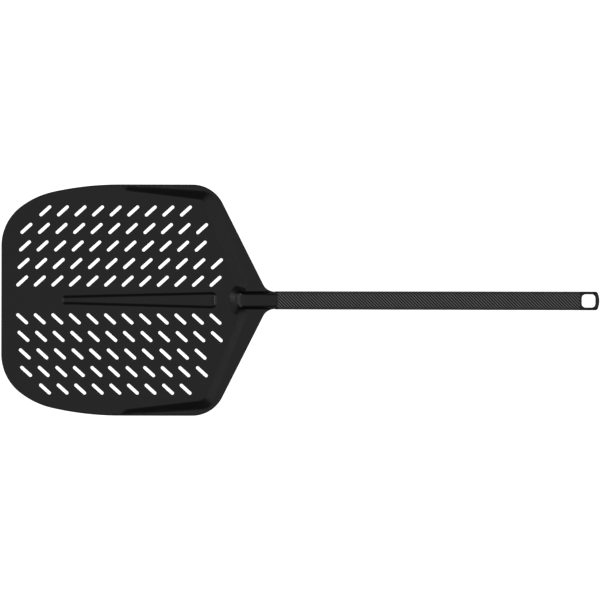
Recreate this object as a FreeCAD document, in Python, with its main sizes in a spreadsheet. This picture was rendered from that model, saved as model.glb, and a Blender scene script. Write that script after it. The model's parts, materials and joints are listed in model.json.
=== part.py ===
import FreeCAD, Part
import math
import os
import re

import Sketcher
from FreeCAD import Vector

# A pizza peel: a perforated, pressed aluminium blade on a carbon-fibre handle.
# Millimetres. While a piece is drawn, X runs back from the blade's front edge, Y across the
# blade and Z up from the surface that it lies on. Each piece's Placement then moves it forward
# by half the peel's length, so that the origin is under the middle of the whole peel.

SIZES = [
    # the whole peel
    ("overall_length", 920.5),
    # the blade's outline: corners of the polygon before rounding, and their radii
    ("blade_width", 356.0),
    ("sheet_thickness", 2.0),
    ("front_edge_half", 121.0),
    ("front_corner_radius", 75.5),
    ("flank_start_back", 52.75),
    ("flank_start_half", 160.6),
    ("flank_start_radius", 126.0),
    ("flank_end_back", 130.8),
    ("flank_end_radius", 467.0),
    ("shoulder_back", 326.0),
    ("shoulder_radius", 52.0),
    ("neck_back", 408.5),
    ("neck_half", 13.9),
    ("neck_radius", 20.0),
    ("neck_side_end", 421.2),
    ("neck_tab_end", 425.2),
    ("neck_tab_corner", 3.6),
    # the dished floor, the wall that climbs from it and the raised land, whose side rims
    # start low and reach their full height further back
    ("land_rise", 11.0),
    ("rim_front", 176.0),
    ("rim_front_rise", 5.0),
    ("rim_full_back", 306.0),
    ("dish_front", -20.0),
    ("dish_flank_half", 183.0),
    ("dish_turn_back", 192.0),
    ("dish_turn_half", 169.0),
    ("dish_turn_radius", 14.0),
    ("dish_corner_back", 311.3),
    ("dish_corner_half", 154.8),
    ("dish_corner_radius", 15.0),
    ("dish_neck_back", 364.0),
    ("dish_neck_half", 23.0),
    ("dish_neck_radius", 2.4),
    ("nose_front", 349.0),
    ("nose_half", 15.0),
    ("nose_radius", 24.0),
    ("brow_flank_back", 183.8),
    ("brow_flank_half", 192.0),
    ("brow_turn_back", 197.1),
    ("brow_turn_half", 180.4),
    ("brow_turn_radius", 2.5),
    ("brow_corner_back", 324.4),
    ("brow_corner_half", 165.7),
    ("brow_corner_radius", 22.0),
    ("brow_neck_back", 381.5),
    ("brow_neck_half", 18.7),
    ("brow_neck_radius", 10.0),
    ("brow_nose_front", 361.0),
    ("brow_nose_half", 7.8),
    ("brow_nose_radius", 12.3),
    # the channel pressed over the neck
    ("channel_front", 364.0),
    ("channel_half", 13.5),
    ("channel_rise", 8.0),
    ("channel_wall_run", 4.0),
    ("channel_corner", 8.0),
    # the tapered rib along the middle of the floor
    ("rib_front", 93.5),
    ("rib_back", 331.5),
    ("rib_front_half", 6.3),
    ("rib_back_half", 12.5),
    ("rib_rise", 3.5),
    ("rib_wall_run", 3.0),
    ("rib_front_corner", 4.0),
    ("rib_back_corner", 8.0),
    # the perforation
    ("slot_width", 4.9),
    ("slot_length", 22.85),
    ("slot_angle", 42.3),
    ("slot_first_back", 32.2),
    ("slot_first_side", 29.1),
    ("slot_pitch", 27.05),
    ("slot_row_pitch", 27.0),
    ("slot_row_shift", 2.08),
    # the handle tube, which widens a little to the rear
    ("tube_front", 425.3),
    ("tube_back", 890.3),
    ("tube_front_width", 28.1),
    ("tube_front_height", 18.0),
    ("tube_back_width", 28.8),
    ("tube_back_height", 18.4),
    ("tube_corner", 5.5),
    ("tube_wall", 1.6),
    ("tube_axis_height", 12.0),
    ("fit_gap", 0.1),
    # the neck connector
    ("tang_front", 373.0),
    ("collar_front", 421.4),
    ("collar_corner", 3.5),
    ("spigot_length", 62.0),
    ("spigot_wall", 3.0),
    ("spigot_floor", 6.0),
    ("spigot_core_corner", 1.5),
    # bosses, keeper plate and keeper screws
    ("keeper_front", 377.0),
    ("keeper_front_half", 10.0),
    ("keeper_wing_back", 389.0),
    ("keeper_wing_half", 26.0),
    ("keeper_wing_width", 5.0),
    ("keeper_back", 417.5),
    ("keeper_back_half", 10.5),
    ("keeper_corner", 3.0),
    ("boss_first_back", 380.0),
    ("boss_pitch", 16.0),
    ("boss_radius", 3.5),
    ("boss_length", 7.6),
    ("boss_thread_depth", 6.4),
    ("keeper_thickness", 2.5),
    ("keeper_screw_radius", 2.0),
    ("keeper_screw_head_radius", 4.0),
    ("keeper_screw_length", 8.0),
    # the small screws through the handle's underside and their inserts
    ("tube_screw_first_back", 441.0),
    ("tube_screw_pitch", 28.0),
    ("cap_screw_back", 868.0),
    ("small_screw_radius", 1.5),
    ("small_screw_head_radius", 2.8),
    ("small_screw_length", 5.6),
    ("insert_radius", 2.3),
    ("insert_length", 5.0),
    ("thread_gap", 0.05),
    # the end cap and its hanging eye
    ("cap_front", 890.4),
    ("cap_corner", 4.0),
    ("cap_crown_radius", 30.5),
    ("cap_crown_angle", 18.4),
    ("cap_edge_radius", 1.5),
    ("cap_spigot_length", 45.0),
    ("eye_front", 893.4),
    ("eye_back", 914.3),
    ("eye_half", 10.15),
    ("eye_corner", 6.0),
    ("eye_edge_radius", 1.0),
]

SLOT_ROWS = [(0, 12), (0, 12), (0, 11), (0, 11), (1, 9)]

NAMES = {alias: "Dim." + alias for alias, _ in SIZES}

doc = FreeCAD.newDocument("pizza_peel")
sheet = doc.addObject("Spreadsheet::Sheet", "Dim")
for row, (alias, size) in enumerate(SIZES, start=1):
    sheet.set(f"A{row}", alias)
    sheet.set(f"B{row}", str(size))
    sheet.setAlias(f"B{row}", alias)
doc.recompute()


def dim(formula):
    """A formula on the sheet's aliases, written the way the document's expressions need it."""
    return re.sub("[a-z_]+", lambda word: NAMES.get(word.group(), word.group()), formula)


def value(formula):
    return float(sheet.evalExpression(dim(formula)))


# ---------------------------------------------------------------- bodies and sketches


def new_body(name, in_place=True):
    body = doc.addObject("PartDesign::Body", name)
    body.Label = name
    body.AllowCompound = True
    if in_place:
        body.setExpression("Placement.Base.x", dim("0 - overall_length / 2"))
    return body


def new_sketch(body, name, plane, offset=None):
    sketch = body.newObject("Sketcher::SketchObject", name)
    origin_plane = next(f for f in body.Origin.OriginFeatures if f.Role == plane)
    sketch.AttachmentSupport = [(origin_plane, "")]
    sketch.MapMode = "FlatFace"
    if offset:
        sketch.setExpression("AttachmentOffset.Base.z", dim(offset))
    return sketch


def bind(sketch, kind, elements, formula):
    """Adds one dimension to a sketch and ties it to the sheet."""
    index = sketch.addConstraint(Sketcher.Constraint(kind, *elements, value(formula)))
    sketch.setExpression(f"Constraints[{index}]", dim(formula))


def place_point(sketch, point, across, up):
    """Fixes one sketch point by its two distances from the sketch's origin."""
    for kind, formula, axis in (("DistanceX", across, -2), ("DistanceY", up, -1)):
        if abs(value(formula)) < 1e-9:
            sketch.addConstraint(Sketcher.Constraint("PointOnObject", *point, axis))
        else:
            bind(sketch, kind, (-1, 1, *point), formula)


def rounded_polygon(sketch, corners):
    """Closed outline from corners (across, up, radius), each a formula; None leaves it sharp."""
    spots = [Vector(value(across), value(up), 0) for across, up, _ in corners]
    count = len(corners)
    entries, exits, arcs = [], [], []
    for i, (_, _, radius) in enumerate(corners):
        before = (spots[i] - spots[i - 1]).normalize()
        after = (spots[(i + 1) % count] - spots[i]).normalize()
        if radius is None:
            entries.append(spots[i])
            exits.append(spots[i])
            arcs.append(None)
            continue
        turn = before.getAngle(after)
        left = before.cross(after).z > 0
        r = value(radius)
        setback = r * math.tan(turn / 2)
        entries.append(spots[i] - before * setback)
        exits.append(spots[i] + after * setback)
        inward = Vector(-before.y, before.x, 0) * (r if left else -r)
        centre = entries[i] + inward
        first, last = (entries[i], exits[i]) if left else (exits[i], entries[i])
        start = math.atan2(first.y - centre.y, first.x - centre.x)
        end = math.atan2(last.y - centre.y, last.x - centre.x)
        if end < start:
            end += 2 * math.pi
        arcs.append((Part.ArcOfCircle(Part.Circle(centre, Vector(0, 0, 1), r), start, end), left))
    sides = [Part.LineSegment(exits[i], entries[(i + 1) % count]) for i in range(count)]
    side_ids = sketch.addGeometry(sides, False)
    arc_ids = [sketch.addGeometry(arc[0], False) if arc else None for arc in arcs]
    for i, (across, up, radius) in enumerate(corners):
        side_in, side_out = side_ids[i - 1], side_ids[i]
        if radius is None:
            sketch.addConstraint(Sketcher.Constraint("Coincident", side_in, 2, side_out, 1))
            place_point(sketch, (side_out, 1), across, up)
            continue
        corner = sketch.addGeometry(Part.Point(spots[i]), True)
        place_point(sketch, (corner, 1), across, up)
        near, far = (1, 2) if arcs[i][1] else (2, 1)
        sketch.addConstraint(
            [
                Sketcher.Constraint("PointOnObject", corner, 1, side_in),
                Sketcher.Constraint("PointOnObject", corner, 1, side_out),
                Sketcher.Constraint("Tangent", side_in, 2, arc_ids[i], near),
                Sketcher.Constraint("Tangent", side_out, 1, arc_ids[i], far),
            ]
        )
        bind(sketch, "Radius", (arc_ids[i],), radius)


def both_sides(half):
    """A symmetric outline from the corners on its +Y half, given from front to back."""
    other = [(across, f"0 - ({up})", radius) for across, up, radius in half]
    return other + half[::-1]


# ---------------------------------------------------------------- features


def pad(body, name, sketch, length, symmetric=False, backwards=False):
    feature = body.newObject("PartDesign::Pad", name)
    feature.Profile = sketch
    feature.setExpression("Length", dim(length))
    feature.SideType = "Symmetric" if symmetric else "One side"
    feature.Reversed = backwards
    doc.recompute()
    return feature


def pocket(body, name, sketch, length=None, backwards=False):
    """Cuts a sketch out of its body, right through both ways when no length is given."""
    before = body.Shape.Volume
    feature = body.newObject("PartDesign::Pocket", name)
    feature.Profile = sketch
    if length:
        feature.setExpression("Length", dim(length))
        feature.Reversed = backwards
    else:
        feature.Type = "ThroughAll"
        feature.SideType = "Symmetric"
    doc.recompute()
    if not body.Shape.Volume < before - 1e-6:
        raise ValueError(f"{name} cuts nothing")
    return feature


def loft(body, kind, name, low, high):
    """Straight-walled loft between two (plane height, corners) outlines."""
    sketches = []
    for level, (height, corners) in (("low", low), ("high", high)):
        sketch = new_sketch(body, f"{name}_{level}", "XY_Plane", height)
        rounded_polygon(sketch, corners)
        sketches.append(sketch)
    feature = body.newObject(kind, name)
    feature.Profile = sketches[0]
    feature.Sections = [sketches[1]]
    feature.Ruled = True
    doc.recompute()
    return feature


def round_edges(body, name, radius, chosen):
    """Fillets the edges of the body so far whose every point passes the test."""
    base = body.Tip
    names = []
    for number, edge in enumerate(base.Shape.Edges, start=1):
        first, last = edge.ParameterRange
        points = [edge.valueAt(first + (last - first) * step / 4) for step in range(5)]
        if all(chosen(point) for point in points):
            names.append(f"Edge{number}")
    feature = body.newObject("PartDesign::Fillet", name)
    feature.Base = (base, names)
    feature.setExpression("Radius", dim(radius))
    doc.recompute()
    return feature


def rounded_box_section(body, name, station, width, height, corner):
    """Cross-section of the handle at one station along it."""
    sketch = new_sketch(body, name, "YZ_Plane", station)
    side = f"({width}) / 2"
    top = f"tube_axis_height + ({height}) / 2"
    bottom = f"tube_axis_height - ({height}) / 2"
    rounded_polygon(
        sketch,
        [
            (f"0 - {side}", bottom, corner),
            (side, bottom, corner),
            (side, top, corner),
            (f"0 - {side}", top, corner),
        ],
    )
    return sketch


# ---------------------------------------------------------------- the blade

OUTLINE_HALF = [
    ("0", "front_edge_half", "front_corner_radius"),
    ("flank_start_back", "flank_start_half", "flank_start_radius"),
    ("flank_end_back", "blade_width / 2", "flank_end_radius"),
    ("shoulder_back", "blade_width / 2", "shoulder_radius"),
    ("neck_back", "neck_half", "neck_radius"),
    ("neck_side_end", "neck_half", None),
    ("neck_side_end", "channel_half - channel_wall_run", None),
    ("neck_tab_end", "channel_half - channel_wall_run", "neck_tab_corner"),
]

DISH_HALF = [
    ("nose_front", "nose_half", "nose_radius"),
    ("dish_neck_back", "dish_neck_half", "dish_neck_radius"),
    ("dish_corner_back", "dish_corner_half", "dish_corner_radius"),
    ("dish_turn_back", "dish_turn_half", "dish_turn_radius"),
    ("rim_front", "dish_flank_half", None),
    ("dish_front", "dish_flank_half", None),
]

BROW_HALF = [
    ("brow_nose_front", "brow_nose_half", "brow_nose_radius"),
    ("brow_neck_back", "brow_neck_half", "brow_neck_radius"),
    ("brow_corner_back", "brow_corner_half", "brow_corner_radius"),
    ("brow_turn_back", "brow_turn_half", "brow_turn_radius"),
    ("brow_flank_back", "brow_flank_half", None),
    ("dish_front", "brow_flank_half", None),
]


def channel_corners(inset):
    """The channel's outline, open to the rear, where the blade's own outline trims it."""
    front = f"channel_front + {inset}"
    half = f"channel_half - {inset}"
    corner = f"channel_corner - {inset}"
    return both_sides([(front, half, corner), ("overall_length / 2", half, None)])


def rib_corners(inset):
    front = f"rib_front + {inset}"
    back = f"rib_back - {inset}"
    front_corner = f"rib_front_corner - ({inset}) / 2"
    back_corner = f"rib_back_corner - {inset}"
    return both_sides(
        [
            (front, f"rib_front_half - {inset}", front_corner),
            (back, f"rib_back_half - {inset}", back_corner),
        ]
    )


def press_form(name, drop):
    """The block that lies under one face of the pressed sheet; drop is how far that face is down.

    The lower face's channel and rib are also drawn in, so that their walls keep the thickness.
    """
    body = new_body(name, in_place=False)
    floor = f"sheet_thickness - {drop}"
    land = f"{floor} + land_rise"

    slab = new_sketch(body, name + "_slab_outline", "XY_Plane", floor)
    slab_half = [
        ("dish_front", "dish_flank_half", None),
        ("rim_full_back", "dish_flank_half", None),
    ]
    rounded_polygon(slab, both_sides(slab_half))
    pad(body, name + "_slab", slab, "land_rise", backwards=True)

    rim = new_sketch(body, name + "_rim_outline", "XZ_Plane")
    rounded_polygon(
        rim,
        [
            ("rim_front", f"{floor} - land_rise", None),
            ("overall_length / 2", f"{floor} - land_rise", None),
            ("overall_length / 2", land, None),
            ("rim_full_back", land, None),
            ("rim_front", f"{floor} + rim_front_rise", None),
        ],
    )
    pad(body, name + "_rim", rim, "2 * dish_flank_half", symmetric=True)

    loft(
        body,
        "PartDesign::SubtractiveLoft",
        name + "_dish",
        (floor, both_sides(DISH_HALF[::-1])),
        (land, both_sides(BROW_HALF[::-1])),
    )

    thinner = f"{drop} * tan(atan({{}} / {{}}) / 2)"
    channel_inset = thinner.format("channel_rise", "channel_wall_run")
    loft(
        body,
        "PartDesign::AdditiveLoft",
        name + "_channel",
        (land, channel_corners(channel_inset)),
        (f"{land} + channel_rise", channel_corners(f"{channel_inset} + channel_wall_run")),
    )
    rib_inset = thinner.format("rib_rise", "rib_wall_run")
    loft(
        body,
        "PartDesign::AdditiveLoft",
        name + "_rib",
        (floor, rib_corners(rib_inset)),
        (f"{floor} + rib_rise", rib_corners(f"{rib_inset} + rib_wall_run")),
    )
    return body


def slot(sketch, row, first_column):
    """One slot of a row: two round ends a fixed way apart, on a slant."""
    reach = "(slot_length - slot_width) / 2"
    back = f"slot_first_back + {row} * slot_row_shift + {first_column} * slot_pitch"
    side = f"slot_first_side + {row} * slot_row_pitch"
    ends = [
        (f"{back} - {reach} * cos(slot_angle)", f"{side} - {reach} * sin(slot_angle)"),
        (f"{back} + {reach} * cos(slot_angle)", f"{side} + {reach} * sin(slot_angle)"),
    ]
    near, far = [Vector(value(x), value(y), 0) for x, y in ends]
    radius = value("slot_width / 2")
    slant = math.atan2(far.y - near.y, far.x - near.x)
    across = Vector(-math.sin(slant), math.cos(slant), 0) * radius
    quarter = math.pi / 2
    up = Vector(0, 0, 1)
    arcs = sketch.addGeometry(
        [
            Part.ArcOfCircle(Part.Circle(near, up, radius), slant + quarter, slant + 3 * quarter),
            Part.ArcOfCircle(Part.Circle(far, up, radius), slant - quarter, slant + quarter),
        ],
        False,
    )
    sides = sketch.addGeometry(
        [Part.LineSegment(near - across, far - across), Part.LineSegment(far + across, near + across)],
        False,
    )
    sketch.addConstraint(
        [
            Sketcher.Constraint("Tangent", arcs[0], 2, sides[0], 1),
            Sketcher.Constraint("Tangent", sides[0], 2, arcs[1], 1),
            Sketcher.Constraint("Tangent", arcs[1], 2, sides[1], 1),
            Sketcher.Constraint("Tangent", sides[1], 2, arcs[0], 1),
        ]
    )
    for arc, (x, y) in zip(arcs, ends):
        place_point(sketch, (arc, 3), x, y)
    bind(sketch, "Radius", (arcs[0],), "slot_width / 2")


def row_pattern(body, name, original, spacing, count, mirror=False):
    """Repeats features along X, and across the centre plane too when mirror is set."""
    whole = body.newObject("PartDesign::MultiTransform", name)
    line = body.newObject("PartDesign::LinearPattern", name + "_line")
    line.Direction = (next(f for f in body.Origin.OriginFeatures if f.Role == "X_Axis"), [""])
    line.Mode = "Spacing"
    line.setExpression("Offset", dim(spacing))
    line.Occurrences = count
    steps = [line]
    if mirror:
        other_side = body.newObject("PartDesign::Mirrored", name + "_mirror")
        centre_plane = next(f for f in body.Origin.OriginFeatures if f.Role == "XZ_Plane")
        other_side.MirrorPlane = (centre_plane, [""])
        steps.append(other_side)
    whole.Originals = original
    whole.Transformations = steps
    body.Tip = whole
    doc.recompute()
    return whole


def make_blade():
    upper_face = press_form("press_upper", "0")
    lower_face = press_form("press_lower", "sheet_thickness")
    pressed = doc.addObject("Part::Cut", "pressed_sheet")
    pressed.Base = upper_face
    pressed.Tool = lower_face

    blank = new_body("blade_blank", in_place=False)
    outline = new_sketch(blank, "blade_outline", "XY_Plane")
    rounded_polygon(outline, both_sides(OUTLINE_HALF))
    pad(blank, "blade_blank_pad", outline, "2 * (land_rise + channel_rise)")
    trimmed = doc.addObject("Part::Common", "trimmed_sheet")
    trimmed.Base = pressed
    trimmed.Tool = blank
    doc.recompute()

    blade = new_body("blade")
    blade.BaseFeature = trimmed
    doc.recompute()
    for row, (first_column, count) in enumerate(SLOT_ROWS):
        sketch = new_sketch(blade, f"slot_row_{row}", "XY_Plane")
        slot(sketch, row, first_column)
        cut = pocket(blade, f"slot_row_{row}_cut", sketch)
        row_pattern(blade, f"slot_row_{row}_pattern", [cut], "slot_pitch", count, mirror=True)
    return blade


# ---------------------------------------------------------------- round pieces and holes


def turned(body, kind, name, station, height, length, radius, top_radius=None):
    """Upright cylinder, or a cone when top_radius is given, standing at one station."""
    shape = "Cylinder" if top_radius is None else "Cone"
    feature = body.newObject(f"PartDesign::{kind}{shape}", name)
    if top_radius is None:
        feature.setExpression("Radius", dim(radius))
    else:
        feature.setExpression("Radius1", dim(radius))
        feature.setExpression("Radius2", dim(top_radius))
    feature.setExpression("Height", dim(length))
    feature.setExpression("Placement.Base.x", dim(station))
    feature.setExpression("Placement.Base.z", dim(height))
    doc.recompute()
    return feature


def countersunk_screw(body, station, height, radius, head_radius, length):
    """A socket screw with its head down: head cone, plain shank and a hexagonal socket."""
    name = body.Name
    head_depth = f"{head_radius} - {radius}"
    head = turned(
        body, "Additive", name + "_head", station, height, head_depth, head_radius, radius
    )
    shank = turned(
        body, "Additive", name + "_shank", station, height, length, f"{radius} - thread_gap"
    )
    socket = body.newObject("PartDesign::SubtractivePrism", name + "_socket")
    socket.Polygon = 6
    socket.setExpression("Circumradius", dim(f"0.72 * {radius}"))
    socket.setExpression("Height", dim(f"0.75 * {radius}"))
    socket.setExpression("Placement.Base.x", dim(station))
    socket.setExpression("Placement.Base.z", dim(height))
    doc.recompute()
    return [head, shank, socket]


def countersunk_hole(body, name, station, height, thickness, radius, head_radius):
    """Clearance hole for such a screw, from the face at that height upwards."""
    seat = turned(
        body,
        "Subtractive",
        name + "_seat",
        station,
        height,
        f"{head_radius} - {radius} + thread_gap",
        f"{head_radius} + thread_gap",
        f"{radius}",
    )
    hole = turned(body, "Subtractive", name + "_hole", station, height, thickness, radius)
    return [seat, hole]


def tube_underside(station):
    """Height of the handle's lower face at a station."""
    gain = "(tube_back_height - tube_front_height) / (tube_back - tube_front)"
    return f"tube_axis_height - (tube_front_height + ({station} - tube_front) * {gain}) / 2"


# ---------------------------------------------------------------- the neck

CHANNEL_ROOM = "channel_half - sheet_thickness * tan(atan(channel_rise / channel_wall_run) / 2)"


def make_weld_bosses():
    body = new_body("weld_bosses")
    bottom = "land_rise + channel_rise - boss_length"
    post = turned(
        body, "Additive", "boss_post", "boss_first_back", bottom, "boss_length", "boss_radius"
    )
    thread = turned(
        body,
        "Subtractive",
        "boss_thread",
        "boss_first_back",
        bottom,
        "boss_thread_depth",
        "keeper_screw_radius",
    )
    row_pattern(body, "boss_row", [post, thread], "boss_pitch", 3)
    return body


def make_neck_connector():
    body = new_body("neck_connector")
    tang = new_sketch(body, "tang_section", "YZ_Plane", "tang_front")
    low_half = f"{CHANNEL_ROOM} - 2 * fit_gap"
    high_half = f"{CHANNEL_ROOM} - channel_wall_run - 2 * fit_gap"
    high = "land_rise + channel_rise - fit_gap"
    rounded_polygon(
        tang,
        [
            (f"0 - ({low_half})", "land_rise", None),
            (low_half, "land_rise", None),
            (high_half, high, None),
            (f"0 - ({high_half})", high, None),
        ],
    )
    pad(body, "tang", tang, "collar_front - tang_front")

    collar = new_sketch(body, "collar_section", "YZ_Plane", "collar_front")
    half = "tube_front_width / 2"
    low = "tube_axis_height - tube_front_height / 2"
    rounded_polygon(
        collar,
        [
            (f"0 - {half}", low, "tube_corner"),
            (half, low, "tube_corner"),
            (half, high, "collar_corner"),
            (f"0 - {half}", high, "collar_corner"),
        ],
    )
    pad(body, "collar", collar, "tube_front - collar_front")

    spigot = rounded_box_section(
        body,
        "spigot_section",
        "tube_front",
        "tube_front_width - 2 * (tube_wall + fit_gap)",
        "tube_front_height - 2 * (tube_wall + fit_gap)",
        "tube_corner - tube_wall",
    )
    pad(body, "spigot", spigot, "spigot_length")

    core = new_sketch(body, "spigot_core_section", "YZ_Plane", "tube_front + spigot_length")
    spigot_half = "tube_front_width / 2 - tube_wall - fit_gap - spigot_wall"
    spigot_low = "tube_axis_height - tube_front_height / 2 + tube_wall + fit_gap"
    spigot_high = "tube_axis_height + tube_front_height / 2 - tube_wall - fit_gap"
    rounded_polygon(
        core,
        [
            (f"0 - ({spigot_half})", f"{spigot_low} + spigot_floor", "spigot_core_corner"),
            (spigot_half, f"{spigot_low} + spigot_floor", "spigot_core_corner"),
            (spigot_half, f"{spigot_high} - spigot_wall", "spigot_core_corner"),
            (f"0 - ({spigot_half})", f"{spigot_high} - spigot_wall", "spigot_core_corner"),
        ],
    )
    pocket(body, "spigot_core", core, "spigot_length - spigot_wall")

    boss_hole = turned(
        body,
        "Subtractive",
        "tang_boss_hole",
        "boss_first_back",
        "land_rise",
        "channel_rise",
        "boss_radius + fit_gap",
    )
    row_pattern(body, "tang_boss_holes", [boss_hole], "boss_pitch", 3)
    insert_hole = turned(
        body,
        "Subtractive",
        "spigot_insert_hole",
        "tube_screw_first_back",
        spigot_low,
        "insert_length",
        "insert_radius",
    )
    row_pattern(body, "spigot_insert_holes", [insert_hole], "tube_screw_pitch", 2)
    return body


def make_keeper_plate():
    body = new_body("keeper_plate")
    outline = new_sketch(body, "keeper_outline", "XY_Plane", "land_rise - keeper_thickness")
    rounded_polygon(
        outline,
        both_sides(
            [
                ("keeper_front", "keeper_front_half", "keeper_corner"),
                ("keeper_wing_back", "keeper_wing_half", "keeper_corner"),
                ("keeper_wing_back + keeper_wing_width", "keeper_wing_half", "keeper_corner"),
                ("keeper_back", "keeper_back_half", "keeper_corner"),
            ]
        ),
    )
    pad(body, "keeper_blank", outline, "keeper_thickness")
    hole = countersunk_hole(
        body,
        "keeper",
        "boss_first_back",
        "land_rise - keeper_thickness",
        "keeper_thickness",
        "keeper_screw_radius",
        "keeper_screw_head_radius",
    )
    row_pattern(body, "keeper_holes", hole, "boss_pitch", 3)
    return body


def make_keeper_screws():
    body = new_body("keeper_screws")
    screw = countersunk_screw(
        body,
        "boss_first_back",
        "land_rise - keeper_thickness",
        "keeper_screw_radius",
        "keeper_screw_head_radius",
        "keeper_screw_length",
    )
    row_pattern(body, "keeper_screw_row", screw, "boss_pitch", 3)
    return body


# ---------------------------------------------------------------- the handle


def make_inserts(name, station, height, count):
    body = new_body(name)
    outside = turned(
        body, "Additive", name + "_outside", station, height, "insert_length", "insert_radius"
    )
    thread = turned(
        body, "Subtractive", name + "_thread", station, height, "insert_length", "small_screw_radius"
    )
    if count > 1:
        row_pattern(body, name + "_row", [outside, thread], "tube_screw_pitch", count)
    return body


def make_small_screws(name, station, count):
    body = new_body(name)
    screw = countersunk_screw(
        body,
        station,
        tube_underside(station),
        "small_screw_radius",
        "small_screw_head_radius",
        "small_screw_length",
    )
    if count > 1:
        row_pattern(body, name + "_row", screw, "tube_screw_pitch", count)
    return body


def make_handle_tube():
    body = new_body("handle_tube")
    for kind, name, thinner in (("Additive", "outside", "0"), ("Subtractive", "bore", "tube_wall")):
        front = rounded_box_section(
            body,
            f"tube_{name}_front",
            "tube_front",
            f"tube_front_width - 2 * {thinner}",
            f"tube_front_height - 2 * {thinner}",
            f"tube_corner - {thinner}",
        )
        back = rounded_box_section(
            body,
            f"tube_{name}_back",
            "tube_back",
            f"tube_back_width - 2 * {thinner}",
            f"tube_back_height - 2 * {thinner}",
            f"tube_corner - {thinner}",
        )
        feature = body.newObject(f"PartDesign::{kind}Loft", f"tube_{name}")
        feature.Profile = front
        feature.Sections = [back]
        feature.Ruled = True
        doc.recompute()
    stations = [
        ("front", "tube_screw_first_back"),
        ("second", "tube_screw_first_back + tube_screw_pitch"),
        ("rear", "cap_screw_back"),
    ]
    for name, station in stations:
        countersunk_hole(
            body,
            f"tube_{name}_screw",
            station,
            tube_underside(station),
            "2 * tube_wall",
            "small_screw_radius",
            "small_screw_head_radius",
        )
    return body


def make_end_cap():
    body = new_body("end_cap")
    section = rounded_box_section(
        body, "cap_section", "cap_front", "tube_back_width", "tube_back_height", "tube_corner"
    )
    pad(body, "cap_block", section, "overall_length - cap_front")

    crown_apex = "overall_length + cap_crown_radius * (1 / cos(cap_crown_angle) - 1)"
    crown_edge = f"{crown_apex} - tube_back_width / 2 * tan(cap_crown_angle)"
    trim = new_sketch(body, "cap_trim", "XY_Plane")
    rounded_polygon(
        trim,
        both_sides(
            [
                ("cap_front - 2", "tube_back_width", None),
                ("overall_length + 2", "tube_back_width", None),
            ]
        ),
    )
    rounded_polygon(
        trim,
        [
            ("cap_front - 1", "0 - tube_back_width / 2", None),
            (crown_edge, "0 - tube_back_width / 2", "cap_corner"),
            (crown_apex, "0", "cap_crown_radius"),
            (crown_edge, "tube_back_width / 2", "cap_corner"),
            ("cap_front - 1", "tube_back_width / 2", None),
        ],
    )
    pocket(body, "cap_round_end", trim)

    axis = value("tube_axis_height")
    shoulder = value("tube_back_height / 2 - tube_corner")
    corner_start = value(f"{crown_edge} - cap_corner")
    round_edges(
        body,
        "cap_end_edges",
        "cap_edge_radius",
        lambda p: p.x > corner_start and abs(p.z - axis) > shoulder - 0.1,
    )

    eye = new_sketch(body, "eye_outline", "XY_Plane")
    eye_half = [("eye_front", "eye_half", "eye_corner"), ("eye_back", "eye_half", "eye_corner")]
    rounded_polygon(eye, both_sides(eye_half))
    pocket(body, "hanging_eye", eye)
    front, back, half = value("eye_front"), value("eye_back"), value("eye_half")
    round_edges(
        body,
        "eye_edges",
        "eye_edge_radius",
        lambda p: front - 0.1 < p.x < back + 0.1
        and abs(p.y) < half + 0.1
        and abs(p.z - axis) > shoulder + 0.1,
    )

    spigot = rounded_box_section(
        body,
        "cap_spigot_section",
        "cap_front",
        "tube_back_width - 2 * (tube_wall + fit_gap)",
        "tube_back_height - 2 * (tube_wall + fit_gap)",
        "tube_corner - tube_wall",
    )
    pad(body, "cap_spigot", spigot, "cap_spigot_length", backwards=True)
    turned(
        body,
        "Subtractive",
        "cap_insert_hole",
        "cap_screw_back",
        "tube_axis_height - tube_back_height / 2 + tube_wall + fit_gap",
        "insert_length",
        "insert_radius",
    )
    return body


# ---------------------------------------------------------------- build, check and write

NECK_INSERT_HEIGHT = "tube_axis_height - tube_front_height / 2 + tube_wall + fit_gap"
CAP_INSERT_HEIGHT = "tube_axis_height - tube_back_height / 2 + tube_wall + fit_gap"

pieces = [
    make_blade(),
    make_weld_bosses(),
    make_neck_connector(),
    make_keeper_plate(),
    make_keeper_screws(),
    make_inserts("spigot_inserts", "tube_screw_first_back", NECK_INSERT_HEIGHT, 2),
    make_small_screws("tube_screws", "tube_screw_first_back", 2),
    make_handle_tube(),
    make_end_cap(),
    make_inserts("cap_insert", "cap_screw_back", CAP_INSERT_HEIGHT, 1),
    make_small_screws("cap_screw", "cap_screw_back", 1),
]
doc.recompute()

failed = [item.Name for item in doc.Objects if {"Invalid", "Error"} & set(item.State)]
if failed:
    raise RuntimeError(f"these objects failed: {failed}")
for piece in pieces:
    if piece.Shape.isNull() or not piece.Shape.isValid():
        raise RuntimeError(f"{piece.Label} has no valid shape")

os.makedirs("parts", exist_ok=True)
for piece in pieces:
    piece.Shape.exportStep(f"parts/{piece.Label}.step")
    print(f"{piece.Label}: {len(piece.Shape.Solids)} solids, {piece.Shape.Volume / 1000:.2f} cm3")
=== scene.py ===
import json
import math

import bpy
import numpy as np
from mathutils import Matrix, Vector
from mathutils.geometry import delaunay_2d_cdt


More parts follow.
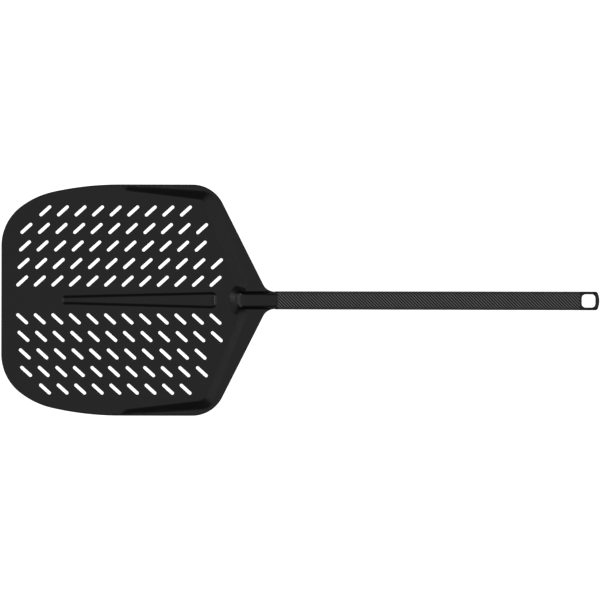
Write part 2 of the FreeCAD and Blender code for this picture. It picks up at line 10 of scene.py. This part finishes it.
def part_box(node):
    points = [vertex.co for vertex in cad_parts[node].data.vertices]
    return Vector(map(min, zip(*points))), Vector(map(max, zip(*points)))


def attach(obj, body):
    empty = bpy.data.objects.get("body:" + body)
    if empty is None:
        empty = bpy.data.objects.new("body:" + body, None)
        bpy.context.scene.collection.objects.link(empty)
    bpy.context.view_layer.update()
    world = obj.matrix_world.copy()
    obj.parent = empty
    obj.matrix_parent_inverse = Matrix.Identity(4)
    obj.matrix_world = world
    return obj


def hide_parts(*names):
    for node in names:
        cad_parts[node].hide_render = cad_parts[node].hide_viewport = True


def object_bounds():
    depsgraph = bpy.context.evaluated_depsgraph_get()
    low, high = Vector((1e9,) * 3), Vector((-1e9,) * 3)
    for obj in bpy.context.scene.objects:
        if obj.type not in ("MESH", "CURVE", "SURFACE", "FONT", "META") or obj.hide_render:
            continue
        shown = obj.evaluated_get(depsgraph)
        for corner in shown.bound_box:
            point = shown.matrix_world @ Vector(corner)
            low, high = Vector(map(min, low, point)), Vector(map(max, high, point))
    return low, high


# A perforated pizza peel on a pale studio floor, seen from straight above. The handle, cap,
# connector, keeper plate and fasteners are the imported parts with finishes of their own. The
# blade is made again here as a pressed sheet with real bend radii and rounded sheet edges.

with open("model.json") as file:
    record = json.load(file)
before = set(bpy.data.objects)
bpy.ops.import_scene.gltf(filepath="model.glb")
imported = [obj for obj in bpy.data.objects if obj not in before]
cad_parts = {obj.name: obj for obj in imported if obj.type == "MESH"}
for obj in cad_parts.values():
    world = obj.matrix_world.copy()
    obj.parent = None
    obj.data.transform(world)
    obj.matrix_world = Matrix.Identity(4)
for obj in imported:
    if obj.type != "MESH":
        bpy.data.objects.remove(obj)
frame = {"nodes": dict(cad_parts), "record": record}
cad_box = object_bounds()
MM = 0.001

# ------------------------------------------------------------ shader arithmetic


class Wire:
    """One output socket of a node; arithmetic on it adds Math nodes."""

    def __init__(self, finish, socket):
        self.finish = finish
        self.socket = socket

    def math(self, operation, *others):
        values = dict(enumerate((self, *others)))
        return self.finish.node("ShaderNodeMath", {"operation": operation}, values)

    def from_left(self, operation, left):
        return self.finish.node("ShaderNodeMath", {"operation": operation}, {0: left, 1: self})

    def __add__(self, other):
        return self.math("ADD", other)

    __radd__ = __add__

    def __sub__(self, other):
        return self.math("SUBTRACT", other)

    def __rsub__(self, other):
        return self.from_left("SUBTRACT", other)

    def __mul__(self, other):
        return self.math("MULTIPLY", other)

    __rmul__ = __mul__

    def __truediv__(self, other):
        return self.math("DIVIDE", other)

    def __rtruediv__(self, other):
        return self.from_left("DIVIDE", other)

    def floor(self):
        return self.math("FLOOR")

    def fraction(self):
        return self.math("FRACT")

    def sine(self):
        return self.math("SINE")

    def sign(self):
        return self.math("SIGN")

    def below(self, level):
        return self.math("LESS_THAN", level)

    def wrap(self, period):
        return self.math("WRAP", period, 0.0)

    def soft(self, low, high):
        """0 below low, 1 above high, and an S curve between."""
        return self.finish.node(
            "ShaderNodeMapRange",
            {"interpolation_type": "SMOOTHSTEP"},
            {"Value": self, "From Min": low, "From Max": high},
        )


MIX_SHARE, MIX_LOW, MIX_HIGH, MIX_COLOUR = 0, 6, 7, 2
SOCKETS = {
    "coat_weight": "Coat Weight",
    "coat_roughness": "Coat Roughness",
    "specular": "Specular IOR Level",
}


class Finish:
    """A material whose colour, roughness and relief are worked out by nodes."""

    def __init__(self, name, metallic=0.0, **constants):
        self.material = bpy.data.materials.new(name)
        self.material.use_nodes = True
        self.tree = self.material.node_tree
        self.shader = self.tree.nodes["Principled BSDF"]
        self.shader.inputs["Metallic"].default_value = metallic
        for socket, value in constants.items():
            self.shader.inputs[SOCKETS[socket]].default_value = value

    def feed(self, socket, value):
        if isinstance(value, Wire):
            self.tree.links.new(value.socket, socket)
        else:
            socket.default_value = value

    def node(self, kind, settings=None, values=None, output=0):
        """Adds a node: its settings first, then the values or links of its sockets."""
        made = self.tree.nodes.new(kind)
        for setting, value in (settings or {}).items():
            setattr(made, setting, value)
        for socket, value in (values or {}).items():
            self.feed(made.inputs[socket], value)
        return Wire(self, made.outputs[output])

    def surface(self):
        return Wire(self, self.shader.outputs[0])

    def place(self):
        """Where a point is on the object, in metres: three wires."""
        spot = self.node("ShaderNodeTexCoord", output="Object")
        return spot, self.parts(spot)

    def parts(self, vector):
        split = self.node("ShaderNodeSeparateXYZ", values={0: vector})
        return [Wire(self, output) for output in split.socket.node.outputs]

    def noise(self, spot, scale, detail=2.0, roughness=0.5):
        values = {"Vector": spot, "Scale": scale, "Detail": detail, "Roughness": roughness}
        return self.node("ShaderNodeTexNoise", values=values)

    def stretched(self, spot, factors):
        """The same place, counted faster or slower along each axis."""
        values = {0: spot, 1: factors}
        return self.node("ShaderNodeVectorMath", {"operation": "MULTIPLY"}, values)

    def blend(self, share, low, high):
        """Goes from one colour to the other as share goes from 0 to 1."""
        values = {MIX_SHARE: share, MIX_LOW: low, MIX_HIGH: high}
        return self.node("ShaderNodeMix", {"data_type": "RGBA"}, values, MIX_COLOUR)

    def finish(self, colour, roughness, relief=None, depth=0.0, strength=1.0):
        self.feed(self.shader.inputs["Base Color"], colour)
        self.feed(self.shader.inputs["Roughness"], roughness)
        if relief is not None:
            values = {"Height": relief, "Distance": depth, "Strength": strength}
            bump = self.node("ShaderNodeBump", values=values)
            self.feed(self.shader.inputs["Normal"], bump)
        return self.material


# ------------------------------------------------------------ finishes


def grey(level, warmth=0.0):
    return (level * (1 + warmth), level, level * (1 - warmth), 1.0)


def anodised_blade():
    """Hard-anodised pressed sheet: dark charcoal, fine blasted grain, faint handling marks."""
    f = Finish("anodised_aluminium", metallic=0.9)
    spot, _ = f.place()
    grain = f.noise(spot, 2600.0, 2.0)
    cloud = f.noise(spot, 9.0, 3.0)
    rubbed = f.noise(f.stretched(spot, (14.0, 160.0, 60.0)), 1.0, 4.0, 0.6).soft(0.55, 0.8)
    colour = f.blend(cloud, grey(0.035), grey(0.043))
    colour = f.blend(rubbed * 0.25, colour, grey(0.054))
    rough = 0.30 + cloud * 0.05 + grain * 0.04 - rubbed * 0.03
    return f.finish(colour, rough, grain, 0.00003, 0.5)


TOWS_PER_REPEAT = 4
TOW_WIDTH = 4.943 * MM / TOWS_PER_REPEAT


def tube_girth(f, across, up):
    """How far round the tube a point is from the middle of its top, out and down each side."""
    low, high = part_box("handle_tube")
    normal = f.node("ShaderNodeNewGeometry", output="Normal")
    underside = f.parts(normal)[2].below(-0.7)
    side = across.sign()
    round_side = across + side * (high.z - up)
    underneath = side * (high.y - low.y + high.z - low.z) - across
    return round_side + underside * (underneath - round_side)


def twill_carbon():
    """2 x 2 twill laminate under satin resin: the tows across the handle get a pale painted
    sheen, those along it stay dark, and every tow has painted shade at its edges.
    """
    f = Finish("carbon_fibre", coat_weight=0.4, coat_roughness=0.2, specular=0.1)
    spot, (along, across, up) = f.place()
    u = along / TOW_WIDTH
    v = tube_girth(f, across, up) / TOW_WIDTH
    crossing = (u.floor() + v.floor()).wrap(TOWS_PER_REPEAT).below(1.5)
    ridge_along = (v.fraction() * math.pi).sine()
    ridge_across = (u.fraction() * math.pi).sine()
    crown = ridge_along + crossing * (ridge_across - ridge_along)
    strands_along = f.noise(f.stretched(spot, (260.0, 5200.0, 5200.0)), 1.0, 2.0)
    strands_across = f.noise(f.stretched(spot, (5200.0, 260.0, 260.0)), 1.0, 2.0)
    strands = strands_along + crossing * (strands_across - strands_along)
    cloud = f.noise(spot, 60.0, 2.0)
    # Painted shade and highlight: each tow's colour is lighter along its crown and darker at its
    # edges, where it dips beside its neighbours. The strands and the cloud add random tone.
    shade = crown.soft(0.0, 0.75) * (0.75 + strands * 0.5) * (0.88 + cloud * 0.24)
    dark = f.blend(shade, grey(0.001), grey(0.006))
    # Painted sheen: the tows across the handle are coloured pale grey to stand for the shine that
    # light from either end of the handle gives them. The fibre itself is near black, as in the
    # tows along it.
    pale = f.blend(shade, grey(0.008), grey(0.2))
    colour = f.blend(crossing, dark, pale)
    rough = 0.42 - crossing * 0.06 + strands * 0.08
    return f.finish(colour, rough, crown * 0.8 + strands * 0.2, 0.00008, 0.55)


def moulded_nylon():
    """Glass-filled nylon off a sparked mould: near black, with an even matt grain."""
    f = Finish("black_nylon")
    spot, _ = f.place()
    grain = f.noise(spot, 1500.0, 3.0, 0.6)
    flow = f.noise(spot, 45.0, 3.0)
    colour = f.blend(flow, grey(0.014), grey(0.021))
    return f.finish(colour, 0.46 + grain * 0.14, grain, 0.00006, 0.5)


def anodised_plate():
    """Milled and anodised plate: fine straight tooling marks across it."""
    f = Finish("keeper_metal", metallic=0.9)
    spot, _ = f.place()
    marks = f.noise(f.stretched(spot, (2400.0, 60.0, 60.0)), 1.0, 2.0)
    cloud = f.noise(spot, 40.0, 2.0)
    colour = f.blend(cloud, grey(0.045), grey(0.06))
    return f.finish(colour, 0.34 + marks * 0.14, marks, 0.00003, 0.4)


def plain_metal(name, low, high, rough, warmth=0.0):
    """Small turned or formed metal: a fine grain, a little unevenness in its tone."""
    f = Finish(name, metallic=0.95)
    spot, _ = f.place()
    grain = f.noise(spot, 3200.0, 2.0)
    cloud = f.noise(spot, 220.0, 2.0)
    colour = f.blend(cloud, grey(low, warmth), grey(high, warmth))
    return f.finish(colour, rough + grain * 0.12, grain, 0.00002, 0.4)


FINISHES = {
    "anodised_aluminium": anodised_blade(),
    "carbon_fibre": twill_carbon(),
    "black_nylon": moulded_nylon(),
    "keeper_metal": anodised_plate(),
    "boss_aluminium": plain_metal("boss_aluminium", 0.05, 0.07, 0.34),
    "black_steel": plain_metal("black_steel", 0.02, 0.035, 0.3),
    "insert_brass": plain_metal("insert_brass", 0.42, 0.5, 0.24, 0.3),
}

for part in frame["record"]["subparts"]:
    mesh = frame["nodes"][part["node"]].data
    mesh.materials.clear()
    mesh.materials.append(FINISHES[part["material_slot"]])

# ------------------------------------------------------------ outlines, in millimetres
# Back is the distance behind the blade's front edge, side the distance from its centre line.


def unit(vector):
    return vector / np.linalg.norm(vector)


def unit_rows(vectors):
    return vectors / np.linalg.norm(vectors, axis=1)[:, None]


def cross(a, b):
    return a[..., 0] * b[..., 1] - a[..., 1] * b[..., 0]


FAR = 1e9


class Outline:
    """A closed outline with rounded corners: (back, side, radius) on one side, front to back."""

    def __init__(self, half):
        corners = [(back, -side, radius) for back, side, radius in half] + half[::-1]
        spots = [np.array(corner[:2], float) for corner in corners]
        count = len(corners)
        self.arcs = []
        starts, ends = [], []
        for i, (_, _, radius) in enumerate(corners):
            before = unit(spots[i] - spots[i - 1])
            after = unit(spots[(i + 1) % count] - spots[i])
            turn = math.atan2(cross(before, after), before @ after)
            setback = radius * math.tan(abs(turn) / 2)
            starts.append(spots[i] - before * setback)
            ends.append(spots[i] + after * setback)
            left = np.array([-before[1], before[0]]) * math.copysign(1, turn)
            centre = starts[i] + left * radius
            first = math.atan2(*(starts[i] - centre)[::-1])
            self.arcs.append((centre, radius, first, turn))
        self.lines = [(ends[i], starts[(i + 1) % count]) for i in range(count)]

    def distance(self, points):
        """How far points are outside the outline; negative inside it."""
        best = np.full(len(points), FAR)
        signed = np.zeros(len(points))
        for start, end in self.lines:
            way = unit(end - start)
            offset = points - start
            along = np.clip(offset @ way, 0, np.linalg.norm(end - start))
            gap = np.linalg.norm(offset - along[:, None] * way, axis=1)
            outside = np.where(cross(way, offset) > 0, -1, 1)
            nearer = gap < best
            best = np.where(nearer, gap, best)
            signed = np.where(nearer, gap * outside, signed)
        for centre, radius, first, turn in self.arcs:
            offset = points - centre
            angle = np.arctan2(offset[:, 1], offset[:, 0])
            swept = (angle - first) * math.copysign(1, turn) % (2 * math.pi)
            beyond = np.linalg.norm(offset, axis=1) - radius
            gap = np.where(swept <= abs(turn), np.abs(beyond), FAR)
            nearer = gap < best
            best = np.where(nearer, gap, best)
            signed = np.where(nearer, beyond * math.copysign(1, turn), signed)
        return signed

    def walk(self, step, turn_step=math.radians(7)):
        """Points along the outline, and the direction straight out of it at each."""
        points, outward = [], []
        for arc, (start, end) in zip(self.arcs, self.lines):
            centre, radius, first, turn = arc
            pieces = max(1, math.ceil(max(abs(turn) / turn_step, abs(turn) * radius / step)))
            for i in range(pieces):
                angle = first + turn * i / pieces
                way = np.array([math.cos(angle), math.sin(angle)])
                points.append(centre + way * radius)
                outward.append(way * math.copysign(1, turn))
            way = unit(end - start)
            pieces = max(1, math.ceil(np.linalg.norm(end - start) / step))
            for i in range(pieces):
                points.append(start + (end - start) * i / pieces)
                outward.append(np.array([way[1], -way[0]]))
        return np.array(points), np.array(outward)


# A rise is a height above the dish or the land, a run the width of the wall that climbs it.
# Bends say how soft the rounded bends at a wall's top and foot are.
SHEET = 2.0
LAND_RISE, LAND_BENDS = 11.0, (2.0, 1.6)
RIM_FRONT, RIM_FRONT_RISE, RIM_FULL_BACK = 176.0, 5.0, 306.0
RIM_LEAST_RISE, RIM_BENDS = 3.0, (0.8, 0.8)
CHANNEL_RISE, CHANNEL_RUN, CHANNEL_BENDS = 8.0, 4.0, (3.6, 1.4)
CHANNEL_FRONT, CHANNEL_FRONT_RUN, CHANNEL_CORNER = 363.0, 7.5, 1.5
RIB_RISE, RIB_RUN, RIB_BENDS = 3.5, 3.0, (1.6, 1.0)
RIB_BACK, RIB_TAIL_RUN, RIB_CORNER = 331.5, 4.4, 1.0
BLADE_HALF_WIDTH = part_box("blade")[1].y / MM
BLADE_LENGTH = (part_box("blade")[1].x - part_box("blade")[0].x) / MM
PEEL_LENGTH = (cad_box[1].x - cad_box[0].x) / MM

# The blade's cut edge: straight front, bellied sides, shoulders drawn in to the neck's tongue.
EDGE = Outline(
    [
        (0, 121.0, 75.5),
        (52.75, 160.6, 126.0),
        (130.8, BLADE_HALF_WIDTH, 467.0),
        (326.0, BLADE_HALF_WIDTH, 52.0),
        (408.5, 13.9, 18.4),
        (421.35, 13.9, 0.6),
        (421.35, 9.5, 0.4),
        (BLADE_LENGTH, 9.5, 3.2),
    ]
)

# Foot and top of the wall that climbs from the dish to the land. Both run off past the front
# edge, so the dish is open there, and off past the sides ahead of the side rims. At the rear
# they turn forward in a blunt nose on the centre line.
DISH = Outline(
    [
        (-400.0, 183.0, 0.1),
        (RIM_FRONT, 183.0, 0.1),
        (192.0, 169.0, 14.0),
        (311.3, 154.8, 15.0),
        (364.0, 23.0, 2.4),
        (349.0, 15.0, 24.0),
    ]
)
BROW = Outline(
    [
        (-400.0, 192.0, 0.1),
        (183.8, 192.0, 0.1),
        (197.1, 180.4, 2.5),
        (324.4, 165.7, 22.0),
        (381.5, 18.7, 10.0),
        (361.0, 7.8, 12.3),
    ]
)

# Feet of the channel over the connector's tang and of the rib, which widens towards the rear.
CHANNEL = Outline([(360.0, 13.5, 8.0), (460.0, 13.5, 0.1)])
RIB = Outline([(93.5, 6.3, 4.0), (RIB_BACK, 12.5, 8.0)])

# ------------------------------------------------------------ the slots

SLOT_WIDTH, SLOT_LENGTH, SLOT_ANGLE = 4.9, 22.85, math.radians(42.3)
SLOT_FIRST, SLOT_PITCH, ROW_PITCH, ROW_SHIFT = (32.2, 29.1), 27.05, 27.0, 2.08
SLOT_ROWS = [(0, 12), (0, 12), (0, 11), (0, 11), (1, 9)]  # first column and number of slots


def slot_ends():
    """Centres of the two round ends of every slot, as (back, side)."""
    reach = (SLOT_LENGTH - SLOT_WIDTH) / 2
    lean = reach * np.array([math.cos(SLOT_ANGLE), math.sin(SLOT_ANGLE)])
    ends = []
    for row, (first, count) in enumerate(SLOT_ROWS):
        for column in range(first, first + count):
            back = SLOT_FIRST[0] + row * ROW_SHIFT + column * SLOT_PITCH
            middle = np.array([back, SLOT_FIRST[1] + row * ROW_PITCH])
            for mirror in (1, -1):
                flip = np.array([1, mirror])
                ends.append(((middle - lean) * flip, (middle + lean) * flip))
    return ends


SLOTS = slot_ends()


def distance_to_slots(points):
    """How far points are from the nearest slot's wall; negative inside a slot."""
    nearest = np.full(len(points), FAR)
    for start, end in SLOTS:
        close = np.linalg.norm(points - (start + end) / 2, axis=1) < SLOT_LENGTH
        offset = points[close] - start
        way = unit(end - start)
        along = np.clip(offset @ way, 0, np.linalg.norm(end - start))
        gap = np.linalg.norm(offset - along[:, None] * way, axis=1) - SLOT_WIDTH / 2
        nearest[close] = np.minimum(nearest[close], gap)
    return nearest


# ------------------------------------------------------------ the pressed sheet


def smooth_min(a, b, bend):
    """The lesser of two heights, with the corner between them rounded."""
    share = np.clip(0.5 + 0.5 * (b - a) / bend, 0, 1)
    return b + (a - b) * share - bend * share * (1 - share)


def smooth_max(a, b, bend):
    return -smooth_min(-a, -b, bend)


def pressed(climb, rise, upper_bend, lower_bend):
    """A pressed step: climb held between 0 and rise, with a rounded bend at each."""
    return smooth_max(smooth_min(climb, rise, upper_bend), 0, lower_bend)


def land_height(points):
    """The land round the rear and both sides. Its side rims start low and climb rearwards."""
    share = (points[:, 0] - RIM_FRONT) / (RIM_FULL_BACK - RIM_FRONT)
    rim = RIM_FRONT_RISE + (LAND_RISE - RIM_FRONT_RISE) * share
    rim = np.maximum(pressed(rim, LAND_RISE, *RIM_BENDS), RIM_LEAST_RISE)
    from_dish = DISH.distance(points)
    climb = LAND_RISE * from_dish / (from_dish - BROW.distance(points))
    return pressed(climb, rim, *LAND_BENDS)


def channel_height(points):
    """The channel over the connector's tang: steep sides and a gentler front."""
    sides = -CHANNEL.distance(points) * CHANNEL_RISE / CHANNEL_RUN
    front = (points[:, 0] - CHANNEL_FRONT) * CHANNEL_RISE / CHANNEL_FRONT_RUN
    return pressed(smooth_min(sides, front, CHANNEL_CORNER), CHANNEL_RISE, *CHANNEL_BENDS)


def rib_height(points):
    """The stiffening rib down the middle of the dish."""
    sides = -RIB.distance(points) * RIB_RISE / RIB_RUN
    tail = (RIB_BACK - points[:, 0]) * RIB_RISE / RIB_TAIL_RUN
    return pressed(smooth_min(sides, tail, RIB_CORNER), RIB_RISE, *RIB_BENDS)


def upper_face(points):
    """Height of the sheet's upper face at points given as (back, side)."""
    return SHEET + land_height(points) + channel_height(points) + rib_height(points)


def upper_normals(points):
    """Directions straight out of the upper face."""
    nudge = 0.05
    slopes = []
    for step in ((nudge, 0), (0, nudge)):
        rise = upper_face(points + step) - upper_face(points - step)
        slopes.append(rise / (2 * nudge))
    return unit_rows(np.column_stack([-slopes[0], -slopes[1], np.ones(len(points))]))


# ------------------------------------------------------------ the sheet's points and triangles
# A bulge is how far a rounded rim reaches past the edge of the flat metal behind it.

RIM_BULGE, NECK_BULGE = 2.2, 0.35
NECK_FRONT, NECK_BACK = 385.0, 410.0
SLOT_BULGE, SLOT_END_STEPS = 0.8, 10
RIM_TURNS = np.radians([30, 60, 90, 120, 150])
EDGE_STEP, GRID_STEP, GRID_FRONT = 3.0, 5.0, 2.0
ROW_GAP, EDGE_GAP, SLOT_GAP, POINTS_APART, HAIR = 1.2, 0.8, 1.2, 0.55, 0.0001


def edge_bulge(points):
    """The bulge of the blade's outer rim; it narrows beside the channel at the neck."""
    share = np.clip((points[:, 0] - NECK_FRONT) / (NECK_BACK - NECK_FRONT), 0, 1)
    return RIM_BULGE + (NECK_BULGE - RIM_BULGE) * share


# Each bend's outline, the step along it, and how far to either side its rows of points run.
BEND_ROWS = [
    (DISH, 4.0, (-3, -2, -1, 0, 1, 2, 3)),
    (BROW, 4.0, (-3.5, -2.5, -1.5, -0.5, 0.5, 1.5, 2.5)),
    (CHANNEL, 2.5, (-6.5, -5.6, -4.8, -4, -3.2, -2.4, -1.5, -0.8, -0.2, 0.5, 1.2)),
    (RIB, 3.0, (-4.6, -3.8, -3, -2.2, -1.4, -0.6, 0, 0.6, 1.4)),
]


def outer_rim():
    """The blade's rim, pulled back into the metal: points, way out of the metal, bulge."""
    points, outward = EDGE.walk(EDGE_STEP)
    bulge = edge_bulge(points)[:, None]
    return points - outward * bulge, outward, bulge


def slot_rim(start, end):
    """A slot's rim, pulled back into the metal: points, way out of the metal, bulge."""
    slant = math.atan2(*(end - start)[::-1])
    angles = slant + np.linspace(-math.pi / 2, math.pi / 2, SLOT_END_STEPS + 1)
    ways = np.column_stack([np.cos(angles), np.sin(angles)])
    reach = SLOT_WIDTH / 2 + SLOT_BULGE
    points = np.vstack([end + ways * reach, start - ways * reach])
    outward = np.vstack([-ways, ways])
    return points[::-1], outward[::-1], SLOT_BULGE


def thinned(candidates, apart):
    """Keeps points that are not too close to one kept before them."""
    cells, kept = {}, []
    for point in candidates:
        cell = (int(point[0] // apart), int(point[1] // apart))
        around = [(cell[0] + i, cell[1] + j) for i in (-1, 0, 1) for j in (-1, 0, 1)]
        near = [other for key in around for other in cells.get(key, [])]
        if all(math.dist(point, other) >= apart for other in near):
            cells.setdefault(cell, []).append(point)
            kept.append(point)
    return np.array(kept)


def inner_points():
    """Points inside the sheet: rows that follow every bend, and a grid between them."""
    rows = []
    for outline, step, offsets in BEND_ROWS:
        points, outward = outline.walk(step)
        rows += [points + outward * offset for offset in offsets]
    backs = np.arange(GRID_FRONT, BLADE_LENGTH, GRID_STEP)
    sides = np.arange(-BLADE_HALF_WIDTH, BLADE_HALF_WIDTH, GRID_STEP) + GRID_STEP / 2
    grid = np.array([(back, side) for back in backs for side in sides])
    for outline, _, offsets in BEND_ROWS:
        gap = outline.distance(grid)
        grid = grid[(gap < min(offsets) - ROW_GAP) | (gap > max(offsets) + ROW_GAP)]
    points = np.vstack([*rows, grid])
    points = points[EDGE.distance(points) < -edge_bulge(points) - EDGE_GAP]
    points = points[distance_to_slots(points) > SLOT_BULGE + SLOT_GAP]
    return thinned(points.tolist(), POINTS_APART)


def triangulated():
    """The upper face in plan: all points, the rims that come first in them, the triangles."""
    rims = [outer_rim()] + [slot_rim(start, end) for start, end in SLOTS]
    points = np.vstack([rim[0] for rim in rims] + [inner_points()])
    edges, start = [], 0
    for rim, _, _ in rims:
        count = len(rim)
        edges += [(start + i, start + (i + 1) % count) for i in range(count)]
        start += count
    made = delaunay_2d_cdt([Vector(point) for point in points], edges, [], 0, HAIR)
    source = [origins[0] for origins in made[3]]
    triangles = np.array([[source[i] for i in face] for face in made[2]])
    centres = points[triangles].mean(axis=1)
    in_blade = EDGE.distance(centres) < -edge_bulge(centres) - HAIR
    off_slots = distance_to_slots(centres) > SLOT_BULGE * 0.9
    return points, rims, triangles[in_blade & off_slots]


# ------------------------------------------------------------ the blade


def rounded_rim(top, normals, outward, bulge):
    """Rows of corners over a rim, from the upper face to the lower one, and their directions."""
    tilt = -(normals[:, 0] * outward[:, 0] + normals[:, 1] * outward[:, 1]) / normals[:, 2]
    out = unit_rows(np.column_stack([outward, tilt]))
    middle = top - normals * SHEET / 2
    rows, directions = [], []
    for turn in RIM_TURNS:
        reach, lift = math.sin(turn), math.cos(turn)
        rows.append(middle + out * bulge * reach + normals * SHEET / 2 * lift)
        directions.append(unit_rows(out * reach / bulge + normals * lift / (SHEET / 2)))
    return rows, directions


def strip(upper, lower):
    """Four-cornered faces between two closed rows of corners."""
    return np.column_stack([upper, lower, np.roll(lower, -1), np.roll(upper, -1)]).tolist()


def sheet_shape():
    """The sheet as corners in millimetres, a direction out of it at each, and faces."""
    plan, rims, triangles = triangulated()
    normals = upper_normals(plan)
    top = np.column_stack([plan, upper_face(plan)])
    count = len(plan)
    corners = [top, top - normals * SHEET]
    directions = [normals, -normals]
    faces = triangles.tolist() + (triangles[:, ::-1] + count).tolist()
    start, total = 0, 2 * count
    for rim, outward, bulge in rims:
        here = np.arange(start, start + len(rim))
        rows, leans = rounded_rim(top[here], normals[here], outward, bulge)
        levels = [here]
        levels += [np.arange(len(rim)) + total + i * len(rim) for i in range(len(rows))]
        levels += [here + count]
        for upper, lower in zip(levels, levels[1:]):
            faces += strip(upper, lower)
        corners += rows
        directions += leans
        start += len(rim)
        total += len(rim) * len(rows)
    return np.vstack(corners), np.vstack(directions), faces


def make_blade():
    corners, directions, faces = sheet_shape()
    corners[:, 0] -= PEEL_LENGTH / 2
    corners[:, 1] = np.clip(corners[:, 1], -BLADE_HALF_WIDTH, BLADE_HALF_WIDTH)
    mesh = bpy.data.meshes.new("blade_sheet")
    mesh.from_pydata((corners * MM).tolist(), [], faces)
    mesh.shade_smooth()
    mesh.materials.append(FINISHES["anodised_aluminium"])
    mesh.normals_split_custom_set_from_vertices(directions.tolist())
    blade = bpy.data.objects.new("blade_sheet", mesh)
    bpy.context.scene.collection.objects.link(blade)
    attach(blade, "root")
    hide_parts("blade")


make_blade()

# ------------------------------------------------------------ the studio, in metres

FLOOR_GAP = 0.0005
FLOOR_SHEETS = ((12.0, 0.0), (40.0, -1.6))  # reach from the middle, level
PANELS = (  # name, place, width, depth, power in watts
    ("overhead_panel", (-0.8, 0, 3.0), 3.0, 5.0, 20.5),
    ("under_panel_left", (0, 1.5, -2.6), 1.6, 1.6, 7),
    ("under_panel_right", (0, -1.5, -2.6), 1.6, 1.6, 7),
    ("front_panel", (-3.0, 0.8, -0.9), 2.0, 2.2, 74),
    ("front_screen", (-2.9, -0.5, 1.0), 5.6, 2.4, 18),
    ("rear_panel", (2.7, 0, 1.3), 1.6, 1.2, 26),
)
ROOM_LIGHT = 0.11
VIEW_SPAN, VIEW_PLACE, VIEW_TURN = 0.9234, (-0.0005, 0.0006, 2.5), math.radians(0.11)


def make_floor():
    """A pale sheet lit from within, with a wider one below it for low views.

    Seen from underneath both are clear, so that they never hide the peel.
    """
    f = Finish("pale_floor")
    spot, _ = f.place()
    grain = f.noise(spot, 300.0, 2.0)
    f.shader.inputs["Emission Color"].default_value = (1, 1, 1, 1)
    f.shader.inputs["Emission Strength"].default_value = 1.0
    colour = f.blend(grain, grey(0.8), grey(0.84))
    material = f.finish(colour, 0.6 + grain * 0.1, grain, 0.0002, 0.2)
    underneath = f.node("ShaderNodeNewGeometry", output="Backfacing")
    clear = f.node("ShaderNodeBsdfTransparent")
    shown = f.node("ShaderNodeMixShader", values={0: underneath, 1: f.surface(), 2: clear})
    f.feed(f.tree.nodes["Material Output"].inputs["Surface"], shown)
    mesh = bpy.data.meshes.new("floor")
    corners = []
    for reach, level in FLOOR_SHEETS:
        corners += [(-reach, -reach, level), (reach, -reach, level)]
        corners += [(reach, reach, level), (-reach, reach, level)]
    mesh.from_pydata(corners, [], [(0, 1, 2, 3), (4, 5, 6, 7)])
    mesh.materials.append(material)
    floor = bpy.data.objects.new("floor", mesh)
    floor.location.z = -FLOOR_GAP
    floor.visible_diffuse = False
    floor.visible_glossy = False
    floor.visible_shadow = False
    bpy.context.scene.collection.objects.link(floor)


def make_light(name, place, width, depth, power):
    """A soft panel that faces the middle of the peel."""
    data = bpy.data.lights.new(name, "AREA")
    data.shape = "RECTANGLE"
    data.size, data.size_y, data.energy = width, depth, power
    lamp = bpy.data.objects.new(name, data)
    lamp.location = place
    lamp.rotation_mode = "QUATERNION"
    lamp.rotation_quaternion = (-Vector(place)).to_track_quat("-Z", "Y")
    bpy.context.scene.collection.objects.link(lamp)


def make_studio():
    make_floor()
    for panel in PANELS:
        make_light(*panel)
    world = bpy.data.worlds.new("studio")
    world.use_nodes = True
    background = world.node_tree.nodes["Background"]
    background.inputs["Color"].default_value = (1, 1, 1, 1)
    background.inputs["Strength"].default_value = ROOM_LIGHT
    bpy.context.scene.world = world
    bpy.context.scene.view_settings.view_transform = "Standard"


def make_camera():
    """Straight down on the peel, its handle to the right."""
    data = bpy.data.cameras.new("camera")
    data.type = "ORTHO"
    data.ortho_scale = VIEW_SPAN
    data.clip_end = 10.0
    camera = bpy.data.objects.new("camera", data)
    camera.location = VIEW_PLACE
    camera.rotation_euler = (0, 0, VIEW_TURN)
    bpy.context.scene.collection.objects.link(camera)
    bpy.context.scene.camera = camera


make_studio()
make_camera()
